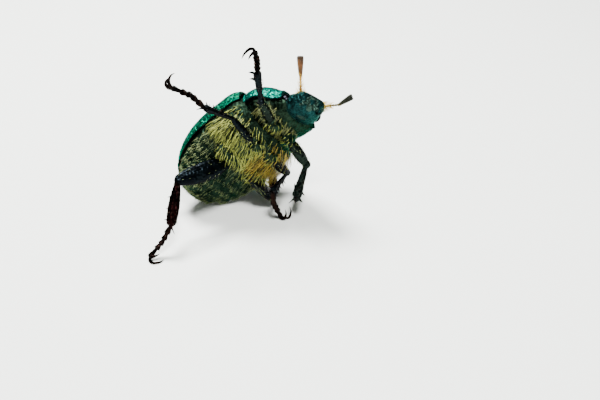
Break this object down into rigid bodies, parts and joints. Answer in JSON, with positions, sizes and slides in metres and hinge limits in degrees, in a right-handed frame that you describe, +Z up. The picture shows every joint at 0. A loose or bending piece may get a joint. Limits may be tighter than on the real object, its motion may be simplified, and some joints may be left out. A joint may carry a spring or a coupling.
{
  "type": "museum model of a leaf chafer beetle, Mimela holosericea",
  "caption": "Life-size still model of a metallic green leaf chafer beetle, reared up on its side with legs and feelers spread.",
  "frame": {"origin": "bottom centre of the bounding box, on the floor that the beetle rests on", "axes": "+Z up, +X towards the raised head, +Y away from the belly, on the side of the wing cases' backs"},
  "size_m": [0.0204, 0.02, 0.0201],
  "materials": {
    "elytron": "metallic emerald, coarsely pitted",
    "prothorax": "metallic turquoise green, coarsely pitted",
    "scutellum": "metallic green, pitted",
    "head": "dark metallic teal",
    "eye": "black, faceted",
    "antenna": "yellow brown stalk, brown club",
    "thorax": "dark green under long straw coloured hair",
    "abdomen": "dark green with rows of short pale hair",
    "pygidium": "dark green, wrinkled",
    "coxa": "dark green",
    "femur": "black green, pitted",
    "tibia": "black with a maroon sheen",
    "tarsus": "glossy black brown"
  },
  "bodies": {
    "root": {"abdomen": "abdomen", "antenna_left": "antenna", "antenna_right": "antenna", "coxa_front_left": "coxa", "coxa_front_right": "coxa", "coxa_hind_left": "coxa", "coxa_hind_right": "coxa", "coxa_middle_left": "coxa", "coxa_middle_right": "coxa", "elytron_left": "elytron", "elytron_right": "elytron", "eye_left": "eye", "eye_right": "eye", "femur_front_left": "femur", "femur_front_right": "femur", "femur_hind_left": "femur", "femur_hind_right": "femur", "femur_middle_left": "femur", "femur_middle_right": "femur", "head": "head", "prothorax": "prothorax", "pygidium": "pygidium", "scutellum": "scutellum", "tarsus_front_left": "tarsus", "tarsus_front_right": "tarsus", "tarsus_hind_left": "tarsus", "tarsus_hind_right": "tarsus", "tarsus_middle_left": "tarsus", "tarsus_middle_right": "tarsus", "thorax": "thorax", "tibia_front_left": "tibia", "tibia_front_right": "tibia", "tibia_hind_left": "tibia", "tibia_hind_right": "tibia", "tibia_middle_left": "tibia", "tibia_middle_right": "tibia"}
  },
  "joints": []
}
